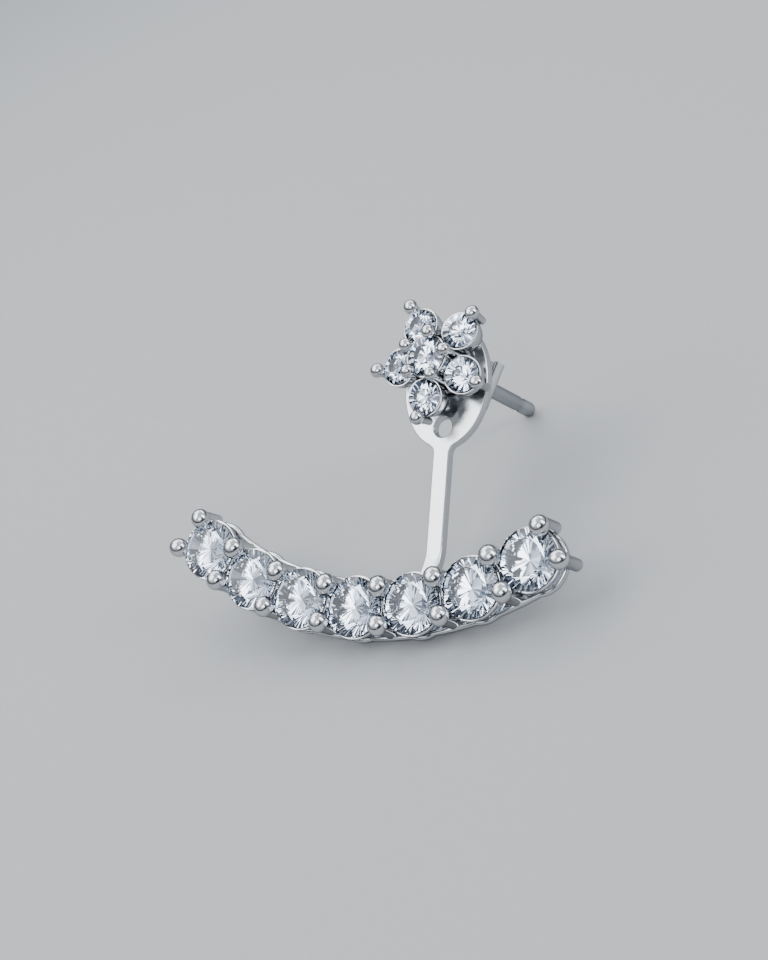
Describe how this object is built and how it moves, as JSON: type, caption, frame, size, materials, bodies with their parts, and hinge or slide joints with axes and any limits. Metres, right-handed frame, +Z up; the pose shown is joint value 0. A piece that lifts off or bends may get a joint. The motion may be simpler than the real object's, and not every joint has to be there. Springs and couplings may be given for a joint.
{
  "type": "ear jacket earring",
  "caption": "Ear jacket earring: a flower stud whose post passes through a stemmed plate that hangs a curved bar of round stones, held by a butterfly clutch.",
  "frame": {"origin": "middle of the bounding box's base, on the surface that the earring rests on", "axes": "+X along the curved bar, to the right as seen from the front, +Z up, and the flower faces up and towards -Y; the post runs down and back to the surface"},
  "size_m": [0.0226, 0.0184, 0.011],
  "materials": {
    "metal": "rhodium-plated silver, polished",
    "stone": "cut and polished cubic zirconia"
  },
  "bodies": {
    "clutch": {"clutch": "metal"},
    "stud": {"stud_setting": "metal", "centre_stone": "stone", "petal_stone_1": "stone", "petal_stone_2": "stone", "petal_stone_3": "stone", "petal_stone_4": "stone", "petal_stone_5": "stone"},
    "jacket": {"jacket_frame": "metal", "bar_stone_1": "stone", "bar_stone_2": "stone", "bar_stone_3": "stone", "bar_stone_4": "stone", "bar_stone_5": "stone", "bar_stone_6": "stone", "bar_stone_7": "stone"}
  },
  "joints": [
    {"name": "clutch_slide", "type": "slide", "parent": "clutch", "child": "stud", "axis": [0, -0.5998, 0.8001], "range_m": [0, 0.009]},
    {"name": "jacket_swivel", "type": "hinge", "parent": "stud", "child": "jacket", "pos_m": [0.00344, 0.00354, 0.00742], "axis": [0, -0.5998, 0.8001], "continuous": true}
  ]
}
